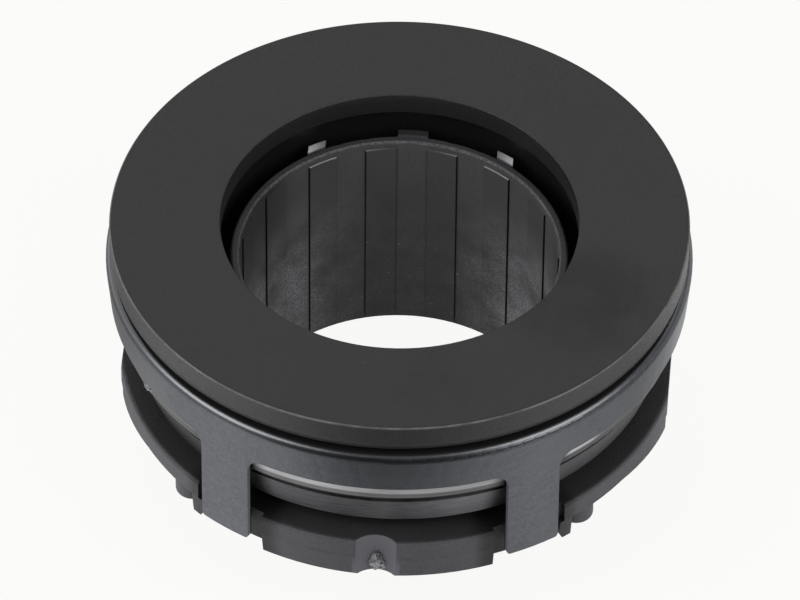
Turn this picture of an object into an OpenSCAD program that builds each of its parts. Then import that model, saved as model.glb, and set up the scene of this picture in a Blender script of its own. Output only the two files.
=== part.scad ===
// Clutch release bearing: a ball bearing that centres itself on a moulded guide sleeve,
// held there by a pressed steel cover whose legs hook under the sleeve's base.
// Millimetres. +Z runs along the bearing's axis, up to the thrust face. The origin is the
// centre of the sleeve's lower end, and the front block lies towards -Y.

/* [Guide sleeve] */
// Diameter of the bore over its lands
bore_d = 38.5; // [36:0.5:41]
// Number of lands in the bore, with as many grooves between them
land_count = 16; // [12:2:20]
// Depth of the grooves between the lands
groove_depth = 0.18; // [0.1:0.01:0.25]
// How far below the sleeve's rim the lands start
land_setback = 1; // [0.5:0.1:2]
// How far above the sleeve's lower end the lands stop
land_lead = 0.8; // [0.4:0.1:2]
// Wall of the sleeve behind its lands
sleeve_wall = 1.25; // [1:0.05:1.4]
// Round on the edges at the sleeve's ends
sleeve_round = 0.3; // [0.2:0.05:0.4]
// Length of the sleeve below the blocks of the base
shank_l = 9.1; // [6:0.1:14]
// Length of the sleeve above the base
collar_l = 15.1; // [12:0.1:17]
// How far the stiffening ribs stand out of the sleeve
rib_reach = 1.5; // [1:0.1:2]
// Width of the middle stiffening rib at the front and at the rear
rib_w = 3.7; // [2.5:0.1:4.5]
// Width of the stiffening ribs beside it
side_rib_w = 2; // [1.5:0.1:3]
// Distance from the middle rib to the ones beside it
side_rib_x = 11.6; // [9:0.1:13]
// How far below the sleeve's rim the stiffening ribs end
rib_setback = 0.2; // [0.2:0.1:2]
// Round on the top edge of the stiffening ribs
rib_round = 0.3; // [0.2:0.1:0.8]
// Fillet at the foot of the sleeve's collar
collar_fillet = 1; // [0.5:0.1:1.5]

/* [Base] */
// Height of the base from the pads at its sides to its top
rim_h = 5; // [4.4:0.1:6]
// Thickness of the base's plate
plate_t = 2.7; // [2.2:0.1:3.2]
// Round on the top edge of the plate
rim_round = 0.5; // [0.3:0.1:0.8]
// Thickness of the skirt under the plate
skirt_t = 2.4; // [2:0.1:3]
// How far the walls under the plate stand back at the mould's parting line
parting_step = 0.15; // [0.1:0.05:0.4]
// How far the flats at the sides cut into the rim
flat_depth = 0.75; // [0.4:0.05:1.2]
// How far the rim stands back from the cover's legs
rim_inset = 0.3; // [0.2:0.05:0.6]
// Depth of a leg's pocket behind the rim
pocket_depth = 1.1; // [1:0.05:1.4]
// How much wider than the leg's room its pocket is in the plate, on the side away from the block
pocket_relief = 0.5; // [0.3:0.1:0.8]
// How far the front and rear blocks reach below the pads
block_drop = 1.1; // [0.8:0.1:2]
// Radial width of a block
block_w = 6.6; // [4:0.1:8]
// How far a block's face leans in towards its foot
block_draft = 0.5; // [0.3:0.05:0.8]
// Width of the half-round notch in a block
notch_w = 5.4; // [3:0.1:6]
// Depth of the half-round notch
notch_depth = 1.5; // [1:0.1:2]
// Diameter of the gate mark in the front notch
gate_d = 1.8; // [1:0.1:2.4]
// Height of the gate mark
gate_h = 0.5; // [0.3:0.05:0.8]
// Length of each pad that the fork presses on
pad_l = 15; // [10:0.5:17]
// Length of the ramp from the end of a pad up to the plate
ramp_l = 12.3; // [8:0.1:13]
// Thickness of the wall round the foot of the sleeve
web_t = 1.6; // [1:0.1:2.5]
// Thickness of the guards beside the legs
guard_t = 1.75; // [1.4:0.05:2.2]
// Width of the chamfer at a guard's foot
guard_chamfer = 0.5; // [0.3:0.05:0.8]
// Diameter of the round bosses near the legs
boss_d = 4.2; // [3:0.1:4.4]
// How far the round bosses reach below the pads
boss_drop = 1; // [0.5:0.1:2]
// How far the round bosses stand back from the rim
boss_inset = 0.5; // [0.3:0.1:1]
// Angle of the round bosses from the front
boss_angle = 47.5; // [47:0.5:52]
// Round on the lower edge of a boss
boss_round = 0.5; // [0.2:0.1:0.8]

/* [Ball bearing] */
// Diameter of a ball
ball_d = 6.35; // [5.5:0.05:7]
// Number of balls
ball_count = 16; // [10:1:18]
// Wall of the hub behind its race
hub_wall = 1.5; // [1.2:0.1:3]
// Wall of the outer ring behind its race
ring_wall = 3.44; // [2.8:0.02:4]
// Height of the race shoulders
shoulder_h = 1.4; // [1:0.1:1.8]
// Radius of the rolled bead round the outer ring
bead_r = 1.2; // [0.8:0.05:1.4]
// How far below the cover's band the middle of the bead lies
bead_drop = 2; // [1.6:0.1:2.4]
// Depth of the groove under the bead
neck_depth = 1.35; // [1:0.05:1.6]
// Thickness of each seal
seal_t = 0.6; // [0.4:0.05:1]
// How far the seals reach into the outer ring
seal_lap = 1.2; // [0.8:0.1:1.4]
// Width of the thick lip and rim of each seal
seal_bead = 0.8; // [0.4:0.1:1.2]
// Radial thickness of the ball cage
cage_w = 2.4; // [1.8:0.1:2.6]
// Thickness of the cage under a ball
cage_web = 0.95; // [0.6:0.05:1.2]

/* [Thrust ring] */
// Diameter of the thrust face
face_d = 70.2; // [64:0.2:78]
// Thickness of the thrust flange
flange_t = 3.5; // [2.5:0.1:6]
// Depth of the lip round the hole in the thrust face
lip_h = 2.8; // [1.2:0.1:3]
// Round on the outer edge of the thrust face
edge_r = 0.3; // [0.2:0.1:1.2]

/* [Retaining cover] */
// Thickness of the cover's sheet
cover_t = 0.7; // [0.5:0.05:0.9]
// Height of the cover's band
band_h = 5.6; // [4.5:0.1:6]
// How far the band widens towards its rolled top
band_flare = 0.4; // [0.2:0.05:0.5]
// Outer radius of the rolled top
roll_r = 0.9; // [0.8:0.1:1.4]
// How far the cover's top reaches in over the upper seal
cover_lap = 0.7; // [0.4:0.1:1]
// Width of a leg
leg_w = 6.9; // [5:0.1:8]
// Angle of the legs from the front and from the rear
leg_angle = 32; // [30:0.5:34]
// Fillet where a leg meets the band
leg_fillet = 2; // [1:0.1:2.4]
// Round on the corners of a leg's foot
leg_round = 0.5; // [0.3:0.1:1]
// Width of the hook at a leg's foot
hook_w = 2.4; // [1.8:0.1:3.2]
// How far a hook reaches in from its leg
hook_l = 2.9; // [2.8:0.1:3.4]

/* [Spring and support ring] */
// Working height of the wave spring
spring_h = 1.9; // [1.6:0.1:3]
// Thickness of the spring's strip
spring_t = 0.5; // [0.3:0.05:0.7]
// Radial width of the spring's strip
spring_w = 3.6; // [2.5:0.1:4]
// Number of waves in the spring
wave_count = 3; // [3:1:5]
// Height of the support ring
seat_h = 4.6; // [3:0.1:6]
// Sheet thickness of the support ring
seat_t = 1.1; // [0.8:0.05:1.3]
// How far the support ring's wall leans in towards its foot
seat_taper = 1.4; // [0.6:0.1:1.8]
// How far the support ring stands back from the bead
seat_inset = 0.95; // [0.7:0.05:1.2]
// How far the support ring's flange ends outside the hub's bore
seat_setback = 2; // [1.5:0.1:2.5]

/* [Clearances] */
// How far the bearing can shift each way along X and along Y
side_travel = 0.6; // [0.3:0.05:0.8]
// Spare room left at the end of that travel
side_spare = 0.2; // [0.1:0.05:0.4]
// Gap between the sleeve and the lip of the thrust ring
lip_gap = 1.2; // [1.1:0.1:2.5]
// Least step from the lip out to the hub's bore
lip_step = 0.5; // [0.3:0.1:1]
// Gap between the cover and the thrust flange
flange_gap = 1.25; // [0.8:0.05:2]
// Gap between a ball and each race
ball_gap = 0.03; // [0.02:0.01:0.06]
// Gap between a ball and its pocket in the cage
pocket_gap = 0.1; // [0.05:0.01:0.2]
// Running gap of the seals on the hub
seal_gap = 0.1; // [0.05:0.01:0.2]
// Fit of the seals in the outer ring, on the radius
seal_fit = 0.03; // [0.01:0.01:0.05]
// Fit of the outer ring in the cover, on the radius
cover_fit = 0.1; // [0.05:0.01:0.2]
// Fit of the outer ring's register in the support ring, on the radius
register_fit = 0.1; // [0.05:0.01:0.2]
// Gap between a hook and the plate above it
hook_gap = 0.1; // [0.05:0.01:0.2]
// Gap above and below the wave spring
spring_gap = 0.08; // [0.05:0.01:0.15]
// Gap between the cage and the lower seal
cage_gap = 0.15; // [0.1:0.01:0.3]

/* [Hidden] */
$fn = 96;
// Overlap that keeps joined and cut shapes from sharing faces
eps = 0.01;
// Length by which a cutter runs past the material
past = 1;
// Small step that keeps a piece from ending flush with the face it runs into
seam = 0.03;
// Steps round each wave of the spring
wave_steps = 24;
// Room that the bearing needs on every side when it shifts diagonally
side_room = side_travel * sqrt(2) + side_spare;

// Radii, from the bore outwards
bore_r = bore_d / 2;
groove_r = bore_r + groove_depth;
wall_mid_r = bore_r + sleeve_wall / 2;
sleeve_r = bore_r + sleeve_wall;
rib_r = sleeve_r + rib_reach;
lip_r = sleeve_r + lip_gap;
hub_bore_r = max(rib_r + side_room, lip_r + lip_step);
race_in_r = hub_bore_r + hub_wall;
pitch_r = race_in_r + ball_gap + ball_d / 2;
race_out_r = pitch_r + ball_d / 2 + ball_gap;
shoulder_in_r = race_in_r + shoulder_h;
shoulder_out_r = race_out_r - shoulder_h;
race_r = ball_d / 2 + ball_gap;
seal_r = shoulder_out_r + seal_lap;
ring_r = race_out_r + ring_wall;
neck_r = ring_r - neck_depth;
seat_top_r = ring_r - seat_inset;
register_r = seat_top_r - seat_t - seal_t * seat_taper / (seat_h - seat_t) - register_fit;
cover_in_r = ring_r + cover_fit;
cover_r = cover_in_r + cover_t;
rim_r = cover_in_r - rim_inset;
pocket_r = rim_r - pocket_depth;
hook_r = cover_in_r - hook_l;
face_r = face_d / 2;
// Inner radius of the cover's rolled top
roll_in_r = max(roll_r - cover_t, 0.15);

// Heights, from the sleeve's lower end upwards
block_z = shank_l;
rim_z = block_z + block_drop;
base_top = rim_z + rim_h;
plate_z = base_top - plate_t;
ledge_z = plate_z + hook_gap;
sleeve_top = base_top + collar_l;
seat_z = base_top + spring_h;
ring_z = seat_z + seat_h;
cage_z = ring_z + seal_t + cage_gap;
race_z = cage_z + cage_web + pocket_gap + ball_d / 2;
ring_top = race_z + ball_d / 2 + pocket_gap + seal_t;
cover_top = ring_top + cover_t;
band_z = cover_top - band_h;
bead_z = band_z - bead_drop;
leg_z = plate_z - cover_t;
flange_z = cover_top + flange_gap;
face_z = flange_z + flange_t;

// Width of the pocket that a leg shifts in
pocket_w = leg_w + 2 * side_room;
// Height inside the plate up to which the walls under it run
plate_mid_z = plate_z + plate_t / 2;
// A block ends where the pockets beside it start
block_angle = leg_angle - asin(pocket_w / 2 / rim_r);

function ball_name(i) = str("ball_", i < 10 ? "0" : "", i);

// Web of a right-angled corner at a point, filling the side that the vector points into.
// Taken away it rounds an outer corner, and added it fillets an inner one.
module corner_web(at, into, r) {
    translate(at)
        mirror([into.x < 0 ? 1 : 0, 0])
            mirror([0, into.y < 0 ? 1 : 0])
                difference() {
                    translate([-eps, -eps]) square(r + eps);
                    translate([r, r]) circle(r);
                }
}

// Rectangle in the radius and height plane
module band(r0, r1, z0, z1) {
    translate([r0, z0]) square([r1 - r0, z1 - z0]);
}

// Sector of a revolved profile, centred on the front
module front_sector(angle) {
    rotate(-90 - angle / 2) rotate_extrude(angle = angle) children();
}

// Prism cut straight into the front from outside, from an outline in the width and height plane
module front_prism(depth_to) {
    rotate([90, 0, 0]) translate([0, 0, depth_to]) linear_extrude(2 * cover_r) children();
}

// The same child at the front and at the rear
module front_and_rear() {
    for (rear = [0, 1]) mirror([0, rear, 0]) children();
}

// The same child, drawn at the front, turned to one angle on all four quarters
module four_way(angle) {
    for (left = [0, 1]) mirror([left, 0, 0]) front_and_rear() rotate(angle) children();
}

// Outline of the walls under the rim, a circle with a flat at each side
module rim_outline() {
    intersection() {
        circle(rim_r - parting_step);
        square([2 * (rim_r - flat_depth - parting_step), 3 * rim_r], center = true);
    }
}

// Top plate of the base, round with a flat at each side and a rounded top edge
module plate() {
    flat_x = rim_r - flat_depth;
    intersection() {
        rotate_extrude() difference() {
            band(bore_r / 2, rim_r, plate_z, base_top);
            corner_web([rim_r, base_top], [-1, -1], rim_round);
        }
        translate([-flat_x, -2 * rim_r, plate_z - past]) cube([2 * flat_x, 4 * rim_r, plate_t + 2 * past]);
    }
}

// Solid pads at the sides, where the fork's fingers press, with a skirt that ramps up from them
module side_pads() {
    ramp_y = pad_l / 2 + ramp_l;
    intersection() {
        translate([0, 0, rim_z - past]) linear_extrude(plate_mid_z - rim_z + past) difference() {
            rim_outline();
            difference() {
                circle(rim_r - skirt_t);
                square([2 * rim_r, pad_l], center = true);
            }
        }
        rotate([90, 0, 90]) linear_extrude(3 * rim_r, center = true) polygon([
            [-ramp_y, plate_z], [-pad_l / 2, rim_z], [pad_l / 2, rim_z], [ramp_y, plate_z],
            [ramp_y, plate_z + past], [-ramp_y, plate_z + past]
        ]);
    }
}

// Section of a block, whose face leans in towards its foot
module block_profile() {
    polygon([
        [rim_r - block_w, block_z], [rim_r - block_draft, block_z], [rim_r - parting_step, plate_z],
        [rim_r - parting_step, plate_mid_z], [rim_r - block_w, plate_mid_z]
    ]);
}

module block() {
    front_sector(2 * block_angle) block_profile();
}

// Wall behind a leg, from the block to the guard
module pocket_wall() {
    front_sector(2 * asin((pocket_w + guard_t) / 2 / pocket_r))
        band(rim_r - skirt_t, pocket_r - seam, rim_z, plate_mid_z);
}

// Guard beside a leg, as deep as the block and with a chamfer towards the leg
module guard() {
    side = pocket_w / 2 + seam;
    lead = 2 * guard_chamfer;
    intersection() {
        front_sector(3 * asin((side + guard_t) / rim_r)) block_profile();
        front_prism(rim_r / 2) polygon([
            [side, plate_mid_z + past], [side, block_z + lead], [side + guard_chamfer, block_z],
            [side + guard_chamfer, block_z - past], [side + guard_t, block_z - past],
            [side + guard_t, plate_mid_z + past]
        ]);
    }
}

module boss() {
    translate([0, -rim_r + boss_inset + boss_d / 2, rim_z - boss_drop])
        rotate_extrude() difference() {
            band(0, boss_d / 2, 0, boss_drop + plate_mid_z - rim_z);
            corner_web([boss_d / 2, 0], [-1, 1], boss_round);
        }
}

module sleeve_tube() {
    rotate_extrude() difference() {
        union() {
            band(groove_r, sleeve_r, 0, sleeve_top);
            corner_web([sleeve_r, base_top], [1, 1], collar_fillet);
        }
        corner_web([sleeve_r, sleeve_top], [-1, -1], sleeve_round);
        corner_web([groove_r, sleeve_top], [1, -1], sleeve_round);
        corner_web([sleeve_r, 0], [-1, 1], sleeve_round);
    }
}

// Stiffening rib up the outside of the sleeve, drawn straight out of the mould
module sleeve_rib(x, w) {
    front_prism(bore_r / 2)
        translate([x - w / 2, base_top - eps])
            square([w, collar_l]);
}

module sleeve_ribs() {
    intersection() {
        front_and_rear() {
            sleeve_rib(0, rib_w);
            for (side = [-1, 1]) sleeve_rib(side * side_rib_x, side_rib_w);
        }
        rotate_extrude() difference() {
            band(wall_mid_r, rib_r, base_top - past, sleeve_top - rib_setback);
            corner_web([rib_r, sleeve_top - rib_setback], [-1, -1], rib_round);
        }
    }
}

// Lengthwise lands that stand out of the bore, with a groove between two of them at the front
module lands() {
    pitch = 360 / land_count;
    for (i = [1:land_count])
        rotate((i - 1 / 2) * pitch)
            front_sector(pitch / 2)
                band(bore_r, wall_mid_r, land_lead, sleeve_top - land_setback);
}

// Radius of the arc that is as wide and as deep as the notch
notch_r = (notch_w * notch_w / 4 + notch_depth * notch_depth) / (2 * notch_depth);

module notch() {
    translate([0, -rim_r + notch_depth - notch_r, block_z - past])
        cylinder(r = notch_r, h = base_top - block_z + 2 * past);
}

// Mark left where the moulding's gate was broken off, low in the front notch
module gate_mark() {
    translate([0, -rim_r + notch_depth + eps, block_z + gate_d])
        rotate([90, 0, 0]) cylinder(d1 = gate_d, d2 = gate_d / 2, h = gate_h);
}

// Pocket for one leg, with the room under the plate that its hook shifts in
module leg_pocket() {
    side = pocket_w / 2;
    front_prism(pocket_r) polygon([
        [-side, block_z - past], [side, block_z - past], [side, plate_z + seam],
        [side + pocket_relief, plate_z + seam], [side + pocket_relief, base_top + past], [-side, base_top + past]
    ]);
    front_prism(hook_r - side_room)
        translate([-hook_w / 2 - side_room, block_z - past])
            square([hook_w + 2 * side_room, ledge_z - block_z + past]);
}

module guide_sleeve() {
    color("#343436") {
        difference() {
            union() {
                plate();
                side_pads();
                front_and_rear() block();
                four_way(leg_angle) pocket_wall();
                four_way(leg_angle) guard();
                four_way(boss_angle) boss();
                rotate_extrude() band(wall_mid_r, sleeve_r + web_t, rim_z + seam, base_top - eps);
            }
            four_way(leg_angle) leg_pocket();
            front_and_rear() notch();
            translate([0, 0, -past]) cylinder(r = wall_mid_r, h = sleeve_top);
        }
        gate_mark();
        sleeve_tube();
        sleeve_ribs();
        lands();
    }
}

// Flat strip bent into waves round the ring
module wave_spring() {
    steps = wave_steps * wave_count;
    rise = (spring_h - spring_t) / 2 - spring_gap;
    mid_z = base_top + spring_h / 2;
    function ring_point(i, r, z) =
        let (a = 360 * i / steps)
        [r * cos(a), r * sin(a), mid_z + rise * sin(wave_count * a) + z];
    function edge(i, k) = 4 * (i % steps) + k % 4;
    points = [
        for (i = [0:steps - 1], corner = [[-1, -1], [1, -1], [1, 1], [-1, 1]])
            ring_point(i, pitch_r + corner.x * spring_w / 2, corner.y * spring_t / 2)
    ];
    faces = [
        for (i = [0:steps - 1], k = [0:3], half = [0, 1])
            half == 0
                ? [edge(i, k), edge(i, k + 1), edge(i + 1, k + 1)]
                : [edge(i, k), edge(i + 1, k + 1), edge(i + 1, k)]
    ];
    color("#8a8c90") polyhedron(points, faces);
}

// Angled ring of pressed sheet: a leaning wall under the outer ring and a flange on the spring
module support_ring() {
    foot_r = seat_top_r - seat_taper;
    flange_r = hub_bore_r + seat_setback;
    bend = seat_t / 4;
    color("#5a5b5e") rotate_extrude() polygon([
        [seat_top_r, ring_z], [foot_r + bend * seat_taper / seat_h, seat_z + bend], [foot_r - bend, seat_z],
        [flange_r, seat_z], [flange_r, seat_z + seat_t],
        [foot_r - seat_t, seat_z + seat_t], [seat_top_r - seat_t, ring_z]
    ]);
}

module race() {
    translate([pitch_r, race_z]) circle(race_r);
}

module outer_ring() {
    color("#a9abaf") rotate_extrude() difference() {
        union() {
            band(shoulder_out_r, ring_r, bead_z, ring_top);
            translate([ring_r - bead_r, bead_z]) circle(bead_r);
            band(shoulder_out_r, neck_r, ring_z, bead_z);
            band(seal_r, register_r, ring_z - seal_t, ring_z + eps);
        }
        race();
        band(shoulder_out_r - past, seal_r, ring_z - past, ring_z + seal_t);
        band(shoulder_out_r - past, seal_r, ring_top - seal_t, ring_top + past);
        corner_web([ring_r, ring_top], [-1, -1], roll_in_r + band_flare);
    }
}

// Thin ring seal, seated in the outer ring and running on the hub's shoulder
module ring_seal(z) {
    rotate_extrude() difference() {
        band(shoulder_in_r + seal_gap, seal_r - seal_fit, z, z + seal_t);
        band(
            shoulder_in_r + seal_gap + seal_bead, shoulder_out_r - seal_bead,
            z + seal_t / 2, z + seal_t + past
        );
    }
}

module lower_seal() {
    color("#2a2a2c") translate([0, 0, 2 * ring_z + seal_t]) mirror([0, 0, 1]) ring_seal(ring_z);
}

module upper_seal() {
    color("#2a2a2c") ring_seal(ring_top - seal_t);
}

// Crown cage: a ring with an open pocket for each ball, a little deeper than half the ball
module ball_cage() {
    color("#5b4a3a") difference() {
        rotate_extrude()
            band(pitch_r - cage_w / 2, pitch_r + cage_w / 2, cage_z, race_z + ball_d / 4);
        for (i = [1:ball_count]) at_ball(i) sphere(ball_d / 2 + pocket_gap);
    }
}

module at_ball(i) {
    rotate((i - 1) * 360 / ball_count) translate([0, -pitch_r, race_z]) children();
}

module ball(i) {
    color("#c8cacd") at_ball(i) sphere(d = ball_d);
}

// Section inside one skin of the cover: a band that flares up to a rolled top
module cover_skin(r, top, roll, bottom) {
    difference() {
        polygon([
            [0, top], [r + band_flare, top], [r + band_flare, cover_top - roll_r],
            [r, band_z], [r, bottom], [0, bottom]
        ]);
        corner_web([r + band_flare, top], [-1, -1], roll);
    }
}

module cover_wall() {
    rotate_extrude() difference() {
        cover_skin(cover_r, cover_top, roll_r, leg_z - past / 2);
        cover_skin(cover_in_r, ring_top, roll_in_r, leg_z - past);
        band(-past, seal_r - cover_lap, band_z, cover_top + past);
    }
}

// Outline of a leg with its fillets to the band and rounded foot
module leg_outline() {
    difference() {
        union() {
            translate([-leg_w / 2, leg_z]) square([leg_w, band_z - leg_z + past]);
            for (side = [-1, 1]) corner_web([side * leg_w / 2, band_z + seam], [side, -1], leg_fillet);
        }
        for (side = [-1, 1]) corner_web([side * leg_w / 2, leg_z], [-side, 1], leg_round);
    }
}

// Openings between the legs
module cover_windows() {
    difference() {
        rotate_extrude() band(cover_in_r - past, cover_r + past, leg_z - past, band_z);
        four_way(leg_angle) front_prism(hook_r / 2) leg_outline();
    }
}

// Foot of a leg, bent in under the base
module hook() {
    intersection() {
        front_sector(3 * asin(hook_w / 2 / hook_r))
            band(hook_r, cover_in_r + cover_t / 2, leg_z + seam, leg_z + cover_t);
        front_prism(hook_r / 2)
            translate([-hook_w / 2, leg_z - past])
                square([hook_w, cover_t + 2 * past]);
    }
}

module retaining_cover() {
    color("#6c6e72") {
        difference() {
            cover_wall();
            cover_windows();
        }
        four_way(leg_angle) hook();
    }
}

// Thrust flange and hub in one turned piece, with the inner race round the hub
module thrust_ring() {
    color("#2f2f31") rotate_extrude() difference() {
        union() {
            band(lip_r, face_r, flange_z, face_z);
            band(hub_bore_r, shoulder_in_r, ring_z, flange_z + eps);
            corner_web([shoulder_in_r, flange_z], [1, -1], flange_gap / 2);
        }
        band(lip_r - past, hub_bore_r, ring_z - past, face_z - lip_h);
        race();
        corner_web([face_r, face_z], [-1, -1], edge_r);
        corner_web([face_r, flange_z], [-1, 1], edge_r / 2);
        corner_web([lip_r, face_z], [1, -1], edge_r / 2);
    }
}

guide_sleeve();
wave_spring();
support_ring();
outer_ring();
lower_seal();
ball_cage();
for (i = [1:ball_count]) ball(i);
upper_seal();
retaining_cover();
thrust_ring();
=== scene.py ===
# Clutch release bearing on its guide sleeve, in the order in which it is put together.
# Metres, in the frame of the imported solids: +Z up to the thrust face, the front towards -Y.
import math

import bmesh
import bpy
from mathutils import Matrix, Vector, noise


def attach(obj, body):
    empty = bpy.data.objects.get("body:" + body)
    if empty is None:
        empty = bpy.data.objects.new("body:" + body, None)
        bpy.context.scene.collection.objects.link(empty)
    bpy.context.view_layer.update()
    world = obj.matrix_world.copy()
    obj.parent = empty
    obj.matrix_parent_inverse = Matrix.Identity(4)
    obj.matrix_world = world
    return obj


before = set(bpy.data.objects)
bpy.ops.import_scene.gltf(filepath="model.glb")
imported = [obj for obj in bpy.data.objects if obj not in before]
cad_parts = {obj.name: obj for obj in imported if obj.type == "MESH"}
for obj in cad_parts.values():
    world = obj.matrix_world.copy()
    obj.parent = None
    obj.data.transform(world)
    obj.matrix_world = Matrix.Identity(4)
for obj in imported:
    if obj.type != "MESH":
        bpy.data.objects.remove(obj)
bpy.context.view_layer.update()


# Guide sleeve: one moulding of black glass-filled plastic, whose grooved bore runs on a guide tube.
# It leaves the mould satin and a little grainy, and dust from the store clings low down in its bore.
class Field:
    """A socket in a finish's node tree. Arithmetic on it adds Math nodes."""

    def __init__(self, tree, socket=None):
        self.tree = tree
        self.socket = socket

    def node(self, kind, settings=None, inputs=None, output=0):
        """One output of a new node, with its settings and the values or links of its inputs."""
        made = self.tree.nodes.new(kind)
        for name, value in (settings or {}).items():
            setattr(made, name, value)
        for name, value in (inputs or {}).items():
            if isinstance(value, Field):
                self.tree.links.new(value.socket, made.inputs[name])
            else:
                made.inputs[name].default_value = value
        return Field(self.tree, made.outputs[output])

    def also(self, output):
        """Another output of the node that this one comes from."""
        return Field(self.tree, self.socket.node.outputs[output])

    def maths(self, operation, *terms):
        """A Math node on terms that are fields or numbers."""
        return self.node("ShaderNodeMath", {"operation": operation}, dict(enumerate(terms)))

    def __add__(self, other):
        return self.maths("ADD", self, other)

    def __sub__(self, other):
        return self.maths("SUBTRACT", self, other)

    def __rsub__(self, other):
        return self.maths("SUBTRACT", other, self)

    def __mul__(self, other):
        return self.maths("MULTIPLY", self, other)

    def __truediv__(self, other):
        return self.maths("DIVIDE", self, other)

    def __abs__(self):
        return self.maths("ABSOLUTE", self)

    __radd__ = __add__
    __rmul__ = __mul__

    def above_zero(self):
        return self.maths("MAXIMUM", self, 0.0)

    def root(self):
        return self.maths("SQRT", self)

    def rise(self, start, end):
        """0 up to start, 1 from end on, and smooth between them."""
        inputs = {"Value": self, "From Min": start, "From Max": end}
        return self.node("ShaderNodeMapRange", {"interpolation_type": "SMOOTHSTEP"}, inputs)

    def line(self, place, half_width):
        """1 where this is at a place, fading to 0 a half width to either side."""
        return 1 - abs(self - place).rise(half_width * 0.45, half_width)

    def tint(self, low, high):
        """The colour low where this is 0 and high where it is 1."""
        return self.node("ShaderNodeMix", {"data_type": "RGBA"}, {0: self, 6: low, 7: high}, 2)

    def near(self, point, inner, outer):
        """1 where this vector lies within inner of a point, 0 beyond outer."""
        gap = self.node("ShaderNodeVectorMath", {"operation": "DISTANCE"}, {0: self, 1: point}, "Value")
        return 1 - gap.rise(inner, outer)

    def noise(self, scale, detail=3.0, roughness=0.55):
        """Cloudy noise on this vector, with features about 1 / scale long."""
        inputs = {"Vector": self, "Scale": scale, "Detail": detail, "Roughness": roughness}
        return self.node("ShaderNodeTexNoise", None, inputs)

    def specks(self, scale, share, size):
        """Small round specks in a share of the cells of a scattered pattern on this vector."""
        cells = self.node("ShaderNodeTexVoronoi", None, {"Vector": self, "Scale": scale})
        chance = self.node("ShaderNodeSeparateColor", None, {0: cells.also("Color")})
        radius = chance.also(1) * size
        return (1 - (cells / radius).rise(0.5, 1.0)) * chance.rise(1 - share, 1.001 - share)


def grey(tone, red=0.0, blue=0.0):
    """A grey of a tone, with its red and blue a little above or below the green."""
    return (tone * (1 + red), tone, tone * (1 + blue), 1.0)


class Finish:
    """A material with the fields that its pattern is drawn on."""

    def __init__(self, name):
        self.material = bpy.data.materials.new(name)
        self.material.use_nodes = True
        self.tree = self.material.node_tree
        self.shader = self.tree.nodes["Principled BSDF"]
        start = Field(self.tree)
        self.place = start.node("ShaderNodeTexCoord", None, None, "Object")
        self.x = start.node("ShaderNodeSeparateXYZ", None, {0: self.place})
        self.y = self.x.also(1)
        self.z = self.x.also(2)
        self.radius = (self.x * self.x + self.y * self.y).root()

    def around(self, turns, height):
        """A vector that changes slowly round the axis and quickly along it, for drawn or turned marks."""
        inputs = {0: self.x / self.radius * turns, 1: self.y / self.radius * turns, 2: self.z * height}
        return self.x.node("ShaderNodeCombineXYZ", None, inputs)

    def angle(self):
        """The angle from the front, 0 to pi on either side."""
        return abs(self.x.maths("ARCTAN2", self.x, 0 - self.y))

    def behind_legs(self, reach):
        """1 behind the four legs of the cover, 0 from a reach in degrees off their middle."""
        leg_angle = math.radians(32)
        off = abs(abs(self.angle() - math.pi / 2) - (math.pi / 2 - leg_angle))
        return 1 - off.rise(math.radians(reach - 4.5), math.radians(reach))

    def feed(self, **sockets):
        """Gives sockets of the shader, named with underscores, a field or one value all over."""
        for name, value in sockets.items():
            socket = self.shader.inputs[name.replace("_", " ")]
            if isinstance(value, Field):
                self.tree.links.new(value.socket, socket)
            else:
                socket.default_value = value

    def bump(self, height, depth):
        """Raises the surface by a height field times a depth in metres."""
        relief = height.node("ShaderNodeBump", None, {"Height": height, "Distance": depth, "Strength": 1.0})
        self.feed(Normal=relief)

    def put_on(self, *nodes):
        """Puts this finish on solids of the frame."""
        for node in nodes:
            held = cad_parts[node].data.materials
            held.clear()
            held.append(self.material)


sleeve = Finish("sleeve plastic")

# Where the lands, corners, dust and worn places of the moulding lie, and where painted shade and painted
# highlights go.
land_pitch = math.pi / 8
from_rear = math.pi - sleeve.angle()
turns = from_rear / land_pitch
along_pitch = turns.maths("FRACT", turns)
in_bore = 1 - sleeve.radius.rise(0.0195, 0.0197)
land = 1 - sleeve.radius.rise(0.01929, 0.01939)
below_tops = 1 - sleeve.z.rise(0.0290, 0.0293)
# Mask of the painted shade in the corners beside the lands, weaker on one side of each land.
land_corner_shade = (along_pitch.line(0.75, 0.016) + along_pitch.line(0.25, 0.012) * 0.35) * in_bore * below_tops
land_end = sleeve.z.line(0.02925, 0.00012) * land
to_the_side = abs(sleeve.x) / sleeve.radius
low_down = 1 - sleeve.z.rise(0.006, 0.026)
cloud = sleeve.place.noise(260, 3, 0.5)
powder = sleeve.place.noise(4200, 3, 0.75)
settled = 0.17 + to_the_side.rise(0.25, 0.75) * 0.85 + sleeve.x.rise(0.004, 0.014) * 0.4
haze = low_down * in_bore * cloud.rise(0.15, 0.75) * powder.rise(0.25, 0.75) * settled
dust = sleeve.place.specks(1500, 0.20, 0.32) * in_bore * low_down * cloud.rise(0.35, 0.60)
left_side = in_bore * (0 - sleeve.x).rise(0.0125, 0.0175) * sleeve.z.rise(0.005, 0.016)
on_base = sleeve.radius.rise(0.0225, 0.0235)
lint = sleeve.place.specks(620, 0.018, 0.16) * on_base
grain = sleeve.place.noise(3600, 4, 0.7).rise(0.30, 0.70)
parting = sleeve.z.line(0.0126, 0.00013) * sleeve.radius.rise(0.0338, 0.0340) * cloud.rise(0.47, 0.58)
end_ring = sleeve.z.rise(0.0300, 0.0302) * (1 - sleeve.radius.rise(0.0206, 0.0208))
rib_top = sleeve.z.rise(0.0297, 0.0300) * sleeve.radius.rise(0.0206, 0.0210)
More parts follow.
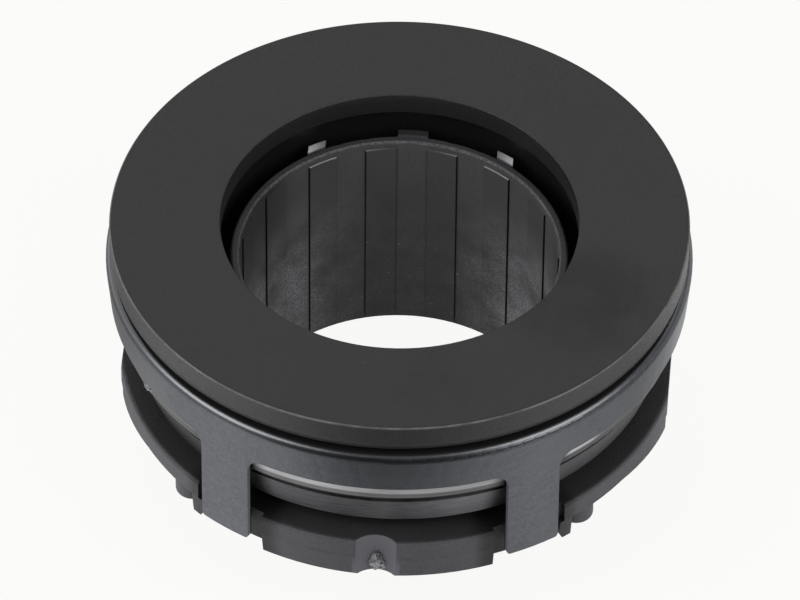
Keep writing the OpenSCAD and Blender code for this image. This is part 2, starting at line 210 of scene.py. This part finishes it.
side_rib_highlight = rib_top * (0.35 + abs(sleeve.x).rise(0.0104, 0.0128) * 0.65) * abs(sleeve.x).rise(0.008, 0.0095)
rim_edge = sleeve.z.rise(0.0299, 0.0301) * (1 - sleeve.radius.rise(0.01955, 0.0197)) * powder.rise(0.40, 0.6)
floor_up = sleeve.z.rise(0.0150, 0.01515) * sleeve.radius.rise(0.0222, 0.0226)
in_notch = (1 - abs(sleeve.x).rise(0.0027, 0.0030)) * (1 - sleeve.radius.rise(0.0338, 0.0341))
notch = in_notch * (1 - sleeve.y.rise(-0.0305, -0.0295)) * (1 - floor_up)

# Colours, each laid over the one before it.
mottle = grain * 0.5 + sleeve.place.noise(140, 4) * 0.5
mould = mottle.tint(grey(0.048, 0.03, 0.13), grey(0.112, 0.03, 0.13))
notched = (notch * 0.5).tint(mould, grey(0.20, 0.03, 0.13))
skin = (grain * 0.5 + cloud * 0.5).tint(grey(0.060, 0.0, 0.03), grey(0.125, 0.0, 0.03))
bored = in_bore.tint(notched, (land * 0.45).tint(skin, grey(0.056)))
unlit = (left_side * 0.75).tint(bored, grey(0.02))
hazed = (haze * 0.9).tint(unlit, grey(0.62, 0.01, 0.06))
# Painted shade: the end ring, the ribs and the top of the base, which lie under the bearing, are darkened.
shaded_under_bearing = (end_ring * 0.55 + floor_up * 0.70 + rib_top * 0.75).tint(hazed, grey(0.014, 0.0, -0.05))
# Painted highlight on the tops of the side ribs, brightest at their outer ends; the inner edge of the rim is
# lightened in broken patches.
rib_highlight_and_rim_edge = (side_rib_highlight + rim_edge * 0.16).tint(shaded_under_bearing, grey(0.70, 0.0, 0.03))
lit_ends = land_end * to_the_side.rise(0.10, 0.45) * (1 - to_the_side.rise(0.66, 0.80))
bright_ends = lit_ends.tint(rib_highlight_and_rim_edge, grey(0.42))
dusty = (dust * 0.8 + lint * 0.8).tint(bright_ends, grey(0.50))
creased = (parting * 0.4).tint(dusty, grey(0.012))
# Painted shade: dark lines in the corners beside the lands of the bore.
corner_shaded = land_corner_shade.tint(creased, grey(0.005))
# Painted shade behind the legs of the cover, where the legs keep the light off.
shade_behind_legs = (sleeve.behind_legs(13) * sleeve.radius.rise(0.026, 0.028) * 0.85).tint(corner_shaded, grey(0.008))
sleeve.feed(Base_Color=shade_behind_legs)
sleeve.feed(Roughness=0.42 + haze * 0.2 + grain * 0.10)
sleeve.feed(Specular_IOR_Level=0.42)
sleeve.bump(grain + sleeve.place.noise(500, 2) * 0.5, 0.00002)
sleeve.put_on("guide_sleeve")


# Gate scar: the rough stub where the sprue was broken off the moulding, low in the front notch.
# It is the same plastic, torn open and so paler than the skin of the moulding.
def add_piece(name, mesh):
    """A smooth piece at the origin of the scene, made from a mesh that is used up."""
    data = bpy.data.meshes.new(name)
    mesh.to_mesh(data)
    mesh.free()
    data.shade_smooth()
    piece = bpy.data.objects.new(name, data)
    bpy.context.scene.collection.objects.link(piece)
    return piece


scar_size = Vector((0.00088, 0.00056, 0.00150))
scar_place = Vector((0.0, -0.03280, 0.01075))
scar_mesh = bmesh.new()
bmesh.ops.create_icosphere(scar_mesh, subdivisions=5, radius=1.0)
for point in scar_mesh.verts:
    at = point.co.copy()
    taper = 1.0 - 0.42 * at.z
    torn = 1.0 + 0.34 * noise.turbulence(at * 1.9 + Vector((3.1, 0.4, 7.2)), 4, False)
    point.co.x = at.x * scar_size.x * taper * torn + scar_place.x
    point.co.y = at.y * scar_size.y * torn + scar_place.y
    point.co.z = at.z * scar_size.z * torn + scar_place.z
scar = add_piece("gate_scar", scar_mesh)
torn_plastic = Finish("torn plastic")
fibres = torn_plastic.place.noise(1700, 5, 0.7)
torn_plastic.feed(Base_Color=fibres.rise(0.38, 0.62).tint(grey(0.05, 0.03, 0.1), grey(0.42, 0.02, 0.08)))
torn_plastic.feed(Roughness=0.5, Specular_IOR_Level=0.45)
torn_plastic.bump(fibres, 0.0001)
scar.data.materials.append(torn_plastic.material)
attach(scar, "guide_sleeve")


# Wave spring: a ring of hardened strip, bent in waves and oiled dark, under the bearing.
# It pushes the bearing up until the hooks of the cover hold it, so that it stays where it has centred.
spring = Finish("spring strip")
spring.feed(Base_Color=spring.around(3, 900).noise(4, 3).tint(grey(0.10), grey(0.2)))
spring.feed(Metallic=1.0, Roughness=0.38)
spring.bump(spring.place.noise(1500, 3), 0.00001)
spring.put_on("wave_spring")


# Support ring: pressed from dull grey sheet, with the faint rings of the tool on its leaning wall.
# It carries a painted sheen towards its sides, and painted shade darkens it behind the legs and at the far
# left.
support = Finish("pressed ring")
tool_rings = support.around(4, 1800).noise(3, 4).rise(0.3, 0.7)
to_right = support.x.rise(0.002, 0.011)
to_left = (0 - support.x).rise(0.002, 0.011)
off_front = support.angle().rise(0.62, 0.75)
# Painted sheen: lighter towards the sides, most to the right, and darker away from the front; the tool rings
# are the ring's own marks.
tool_rings_and_sheen = (tool_rings * 0.4 + to_right * 0.65 + to_left * 0.2) * (1 - off_front * 0.7)
pressed = tool_rings_and_sheen.tint(grey(0.060, 0.02, 0.07), grey(0.24, 0.02, 0.07))
far_left = (0 - support.x).rise(0.018, 0.024)
# Painted shade behind the legs and at the far left.
shaded_ring = (far_left * 0.6 + support.behind_legs(10.0) * 0.9).tint(pressed, grey(0.012))
support.feed(Base_Color=shaded_ring, Metallic=0.35 + far_left * 0.35)
support.feed(Roughness=0.40 + support.place.noise(300, 3) * 0.1)
support.bump(tool_rings, 0.00002)
support.put_on("support_ring")


# Outer ring and balls: bearing steel, ground bright; the ring's lower edge shows in the cover's windows.
# Its colour carries a painted highlight on the bead just under the cover and a painted glint in the right
# window, brightest at the front, and painted shade below the bead and behind the legs.
bearing = Finish("ground steel")
ground = bearing.around(4, 2500).noise(3, 4).rise(0.25, 0.75)
at_front = 1 - bearing.angle().rise(0.40, 0.62)
bright = ground.tint(grey(0.72, 0.0, 0.03), grey(0.97, 0.0, 0.03))
# Painted glint on the ring in the cover's right window.
right_glint = bearing.angle().line(0.75, 0.12) * bearing.x.rise(0.0, 0.01) * bearing.z.rise(0.0239, 0.0245)
# Painted highlight on the bead just under the cover, strongest at the front.
bead_highlight = bearing.z.rise(0.0239, 0.0242) * (0.08 + at_front * 0.50)
# How much of the bright steel shows: the painted highlights and a lighter front, dimmed off the middle.
share = 0.10 + at_front * 0.22 + right_glint * 0.6 + bead_highlight
off_middle = bearing.angle().rise(0.08, 0.36) * at_front
highlighted_ring = (share * (1 - off_middle * 0.42)).tint(grey(0.03, 0.0, 0.05), bright)
# Painted shade below the bead, in the groove above the support ring.
shaded_below_bead = bearing.z.rise(0.02325, 0.0235).tint(grey(0.03), highlighted_ring)
# Painted shade behind the legs.
bearing.feed(Base_Color=(bearing.behind_legs(9.8) * 0.90).tint(shaded_below_bead, grey(0.010)))
bearing.feed(Metallic=1.0, Roughness=0.28 + bearing.around(6, 1500).noise(3, 3) * 0.12)
bearing.bump(bearing.around(3, 6000).noise(4, 2), 0.000004)
bearing.put_on("outer_ring")
polished = Finish("polished balls")
polished.feed(Base_Color=polished.place.noise(400, 3).tint(grey(0.52), grey(0.62)))
polished.feed(Metallic=1.0, Roughness=0.12 + polished.place.noise(900, 3) * 0.06)
polished.bump(polished.place.noise(3000, 2), 0.000002)
polished.put_on(*[f"ball_{i:02d}" for i in range(1, 17)])


# Cage and seals: a crown moulded in brown plastic, which snaps over the balls and spaces them,
# and two rings of black rubber, pressed in above and below, which keep the grease in.
cage = Finish("cage plastic")
cage.feed(Base_Color=cage.place.noise(200, 3).tint((0.16, 0.11, 0.07, 1.0), (0.10, 0.07, 0.045, 1.0)))
cage.feed(Roughness=0.5)
cage.bump(cage.place.noise(1800, 2), 0.00002)
cage.put_on("ball_cage")
rubber = Finish("seal rubber")
rubber.feed(Base_Color=rubber.place.noise(300, 3).tint(grey(0.012), grey(0.026)))
rubber.feed(Roughness=0.6)
rubber.bump(rubber.place.noise(2600, 2), 0.00002)
rubber.put_on("upper_seal", "lower_seal")


# Retaining cover: pressed from dark strip, satin from the tool, its legs hooked in under the base.
# A highlight is painted on the crest of its rolled edge with a painted dark line below it, and painted shade
# fills the narrow gap under the thrust ring.
cover = Finish("pressed cover")
drawn = cover.around(5, 500).noise(3, 5, 0.6)
smudge = cover.place.noise(95, 4)
cover_mottle = cover.place.noise(2200, 4, 0.75)
pits = cover.place.specks(420, 0.09, 0.17)
rolled = cover.z.rise(0.0304, 0.0306)
gap_end = (cover.radius + (cover_mottle - 0.5) * 0.0002).rise(0.03474, 0.03484)
# Painted shade on the cover's top in the narrow gap under the thrust ring, which is also made less metallic
# there.
gap_shade = cover.z.rise(0.0308, 0.0310) * (1 - gap_end)
slump = 0.00016 + cover.x.rise(0.0, 0.026) * 0.00008
from_crest = cover.radius + (cover_mottle - 0.5) * 0.00006 - slump * 0.55
# Painted highlight along the crest of the rolled edge, weaker towards the right.
crest_highlight = from_crest.line(0.03500, 0.00034) * rolled
# Painted shade: a dark line just below the crest, fading away from the front.
dip_shade = from_crest.line(0.03535, 0.00022) * rolled
beside = cover.angle().line(0.98, 0.42)
tone = (drawn * 0.3 + cover_mottle * 0.7).rise(0.25, 0.75).tint(grey(0.115, -0.03, 0.10), grey(0.185, -0.03, 0.10))
smudged = (smudge.rise(0.42, 0.62) * 0.5).tint(tone, grey(0.170, -0.03, 0.10))
shadowed = (beside * 0.25).tint(smudged, grey(0.05, -0.03, 0.10))
highlighted_crest = (crest_highlight * (0.85 - cover.x.rise(0.021, 0.030) * 0.50)).tint(shadowed, grey(0.24, -0.02, 0.05))
shaded_dip = (dip_shade * (0.6 - cover.angle().rise(0.25, 0.55) * 0.6)).tint(highlighted_crest, grey(0.03, 0.0, 0.05))
pitted = (pits * 0.7).tint(shaded_dip, grey(0.03))
cover.feed(Base_Color=gap_shade.tint(pitted, grey(0.022)))
cover.feed(Metallic=1.0 - gap_shade * 0.8, Roughness=0.26 + smudge * 0.1 + drawn * 0.06)
roll_radius = 0.0347
roll_height = 0.03075
across = (cover.radius - roll_radius).above_zero()
above = (cover.z + slump - roll_height).above_zero()
tight_roll = (across * across + above * above).root()
cover.bump((drawn * 0.4 + cover.place.noise(1300, 3)) * 0.00001 - tight_roll, 1.0)
cover.put_on("retaining_cover")


# Burr: a torn tag of the strip that the press left on the lower edge of the cover, beside the left leg.
# It is one with the cover, and bare and rough where the sheet tore.
burr_size = Vector((0.00105, 0.00018, 0.00070))
burr_angle = math.radians(-55.5)
burr_radius = 0.03485
burr_height = 0.02485
burr_slope = 0.25
burr_mesh = bmesh.new()
bmesh.ops.create_icosphere(burr_mesh, subdivisions=4, radius=1.0)
for point in burr_mesh.verts:
    at = point.co.copy()
    torn = 1.0 + 0.45 * noise.turbulence(at * 1.7 + Vector((5.3, 2.1, 0.6)), 4, False)
    along = at.x * burr_size.x * torn
    outward = at.y * burr_size.y * torn + burr_radius
    point.co.x = math.sin(burr_angle) * outward + math.cos(burr_angle) * along
    point.co.y = math.sin(burr_angle) * along - math.cos(burr_angle) * outward
    point.co.z = at.z * burr_size.z * torn + burr_height + along * burr_slope
burr = add_piece("press_burr", burr_mesh)
torn_steel = Finish("torn steel")
tears = torn_steel.place.noise(2200, 4, 0.7)
torn_steel.feed(Base_Color=tears.rise(0.35, 0.65).tint(grey(0.10, -0.03, 0.10), grey(0.34, -0.02, 0.05)))
torn_steel.feed(Metallic=1.0, Roughness=0.3 + tears * 0.1)
torn_steel.bump(tears, 0.00005)
burr.data.materials.append(torn_steel.material)
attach(burr, "housing")


# Thrust ring: one turned piece of steel with a matt black coating; its wide face takes the wear.
# Handling has left two oily stains and a little dust on the face; a highlight is painted along its outer and
# lower edges, and painted shade darkens its underside.
coat = Finish("black coat")
corner = coat.radius.rise(0.03488, 0.03496) * coat.z.rise(0.03572, 0.03584)
outer_edge_highlight = corner * (0.5 + coat.place.noise(330, 3).rise(0.35, 0.6) * 0.5)
lower_edge_highlight = coat.radius.rise(0.0349, 0.03503) * (1 - coat.z.rise(0.03258, 0.0327))
patchy = coat.place.noise(70, 4)
fine = coat.place.noise(4200, 4, 0.7).rise(0.30, 0.70)
right_stain = coat.place.near((0.0228, -0.0115, 0.036), 0.004, 0.0115) * patchy.rise(0.30, 0.48)
front_stain = coat.place.near((0.0052, -0.0269, 0.036), 0.002, 0.0080) * patchy.rise(0.36, 0.60)
stains = right_stain + front_stain * 0.75
below_lip = 1 - coat.z.rise(0.0346, 0.0362)
inside = 1 - coat.radius.rise(0.0221, 0.0223)
shade_under_flange = 1 - coat.z.rise(0.0326, 0.0328)
coated = (patchy * 0.3 + fine * 0.7).tint(grey(0.006, 0.0, 0.08), grey(0.022, 0.0, 0.08))
oily = (stains * 0.85).tint(coated, grey(0.003))
# Painted highlight along the rounded outer edge and the lower edge of the flange.
edge_highlighted = (outer_edge_highlight * 0.8 + lower_edge_highlight * 0.3).tint(oily, grey(0.16))
face_dust = coat.place.specks(170, 0.035, 0.05) + coat.place.specks(420, 0.012, 0.10)
dusted = (face_dust * 0.9).tint(edge_highlighted, grey(0.40))
shaded = (inside * below_lip).tint(dusted, grey(0.006))
# Painted shade on the underside of the flange, over the cover.
coat.feed(Base_Color=shade_under_flange.tint(shaded, grey(0.012)))
coat.feed(Roughness=0.29 + fine * 0.10 + stains * 0.06 + inside * below_lip * 0.3)
coat.feed(Specular_IOR_Level=0.68)
foot_radius = 0.0343
foot_height = 0.0333
past_foot = (coat.radius - foot_radius).above_zero()
below_foot = (foot_height - coat.z).above_zero()
from_foot = (past_foot * past_foot + below_foot * below_foot).root()
rounded = (from_foot - past_foot) * coat.radius.rise(0.0338, 0.0342)
coat.bump(fine * 0.00002 - rounded, 1.0)
coat.put_on("thrust_ring")


# Rounded corner: the rounded outer edge of the thrust face, turned in one with the ring.
# It takes the coat's painted highlight there, and the skin of the corner runs true all round.
corner_mesh = bmesh.new()
corner_middle = Vector((0.0348, 0.0, 0.0357))
skin_radius = 0.000306
core_radius = 0.000200
rings = [(skin_radius, math.radians(degrees)) for degrees in range(3, 76, 9)]
rings += [(core_radius, math.radians(degrees)) for degrees in (75, 39, 3)]
profile = []
for radius, lean in rings:
    step = Vector((math.cos(lean), 0.0, math.sin(lean))) * radius
    profile.append(corner_mesh.verts.new(corner_middle + step))
edges = [corner_mesh.edges.new((profile[i - 1], profile[i])) for i in range(len(profile))]
bmesh.ops.spin(corner_mesh, geom=profile + edges, cent=(0, 0, 0), axis=(0, 0, 1), angle=math.tau, steps=360,
               use_merge=True)
bmesh.ops.recalc_face_normals(corner_mesh, faces=corner_mesh.faces)
rounded_corner = add_piece("rounded_corner", corner_mesh)
rounded_corner.data.materials.append(coat.material)
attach(rounded_corner, "thrust_ring")


# Floor, light and camera: a pale sweep, three softboxes and a long lens from above the front.
# Pools of light beside the bearing are painted into what mirrors see of the floor, and the bearing's walls
# mirror them.
floor_mesh = bmesh.new()
bmesh.ops.create_grid(floor_mesh, x_segments=1, y_segments=1, size=3.0)
floor = add_piece("floor", floor_mesh)

paper = bpy.data.materials.new("floor paper")
paper.use_nodes = True
paper_tree = paper.node_tree
paper_tree.nodes.clear()
start = Field(paper_tree)
white = (0.985, 0.985, 0.975, 1.0)


def seen(field, plain, mirrored):
    """1 for what the camera sees straight or through glass, else a plain level or what a surface mirrors."""
    rays = field.node("ShaderNodeLightPath", None, None, "Is Camera Ray")
    glossy = rays.also("Is Glossy Ray")
    return rays.maths("MAXIMUM", rays + rays.also("Is Transmission Ray"), plain + glossy * (mirrored - plain))


on_floor = start.node("ShaderNodeTexCoord", None, None, "Object")
sideways = start.node("ShaderNodeSeparateXYZ", None, {0: on_floor})
depth = sideways.also(1)
# Painted reflection: bands and pools of brightness that only mirrored rays see on the floor.
close_floor = depth.rise(-0.070, -0.059) * 0.34
rear_floor = depth.rise(0.040, 0.070) * 0.30
side_floor = (0 - sideways).rise(0.07, 0.12) * 0.36 + sideways.rise(0.07, 0.12) * 0.16
left_pool = on_floor.near((-0.050, -0.040, 0.0), 0.012, 0.052) * 0.88
right_pool = on_floor.near((0.050, -0.040, 0.0), 0.012, 0.052) * 0.46
far_pool = on_floor.near((0.047, 0.018, 0.0), 0.006, 0.030) * 0.50
painted_floor_pools = 0.12 + close_floor + rear_floor + side_floor + left_pool + right_pool + far_pool
pale = seen(start, 0.0, painted_floor_pools)
mirrored_ray = start.node("ShaderNodeLightPath", None, None, "Is Glossy Ray")
matt = start.node("ShaderNodeBsdfDiffuse", None, {"Color": mirrored_ray.tint(grey(0.8), grey(0.0))})
glow = start.node("ShaderNodeEmission", None, {"Color": white, "Strength": 1.0})
lit = start.node("ShaderNodeMixShader", None, {0: pale * 0.94, 1: matt, 2: glow})
surface = paper_tree.nodes.new("ShaderNodeOutputMaterial")
paper_tree.links.new(lit.socket, surface.inputs["Surface"])
floor.data.materials.append(paper)

world = bpy.data.worlds.new("studio")
world.use_nodes = True
bpy.context.scene.world = world
studio = Field(world.node_tree)
direction = studio.node("ShaderNodeTexCoord", None, None, "Generated")
rightward = studio.node("ShaderNodeSeparateXYZ", None, {0: direction})
rearward = rightward.also(1)
upward = rightward.also(2)
canopy = rearward.rise(0.2, 0.65) * upward.rise(0.30, 0.60) * 0.76
wings = (0 - rightward).rise(0.3, 0.7) * 0.50 + rightward.rise(0.3, 0.7) * 0.18
backdrop = world.node_tree.nodes["Background"]
brightness = seen(studio, 0.34, 0.10 + canopy + wings * (1 - upward.rise(0.30, 0.50)))
world.node_tree.links.new(brightness.socket, backdrop.inputs["Strength"])
backdrop.inputs["Color"].default_value = white


def softbox(name, place, aim, width, height, power, mirrored=True):
    """A rectangular lamp at a place, turned to a point, which smooth surfaces mirror or not."""
    lamp = bpy.data.lights.new(name, "AREA")
    lamp.shape = "RECTANGLE"
    lamp.size = width
    lamp.size_y = height
    lamp.energy = power
    box = bpy.data.objects.new(name, lamp)
    box.location = place
    box.rotation_euler = (Vector(aim) - Vector(place)).to_track_quat("-Z", "Y").to_euler()
    box.visible_glossy = mirrored
    bpy.context.scene.collection.objects.link(box)


middle = (0.0, 0.0, 0.02)
softbox("left softbox", (-0.50, -0.24, 0.43), middle, 0.60, 0.45, 2.1)
softbox("right softbox", (0.50, -0.24, 0.43), middle, 0.45, 0.45, 1.6)
softbox("top softbox", (-0.10, 0.10, 0.75), middle, 0.5, 0.4, 0.8, False)

camera_turn = math.radians(4.2)
camera_rise = math.radians(45.156)
camera_roll = 0.00947
camera_distance = 1.0
level = Vector((math.cos(camera_turn), math.sin(camera_turn), 0.0))
to_camera = Vector((math.sin(camera_turn), -math.cos(camera_turn), 0.0))
back = to_camera * math.cos(camera_rise) + Vector((0.0, 0.0, math.sin(camera_rise)))
upright = back.cross(level)
right = level * math.cos(camera_roll) + upright * math.sin(camera_roll)
up = upright * math.cos(camera_roll) - level * math.sin(camera_roll)
face_middle = Vector((0.0, 0.0, 0.036))
eye = face_middle + back * camera_distance + right * 0.00004 - up * 0.0097
lens = bpy.data.cameras.new("camera")
lens.lens = 372.4
lens.sensor_width = 36.0
lens.clip_start = 0.05
camera = bpy.data.objects.new("camera", lens)
camera.matrix_world = Matrix((right, up, back)).transposed().to_4x4()
camera.location = eye
bpy.context.scene.collection.objects.link(camera)
bpy.context.scene.camera = camera
bpy.context.scene.view_settings.view_transform = "Standard"
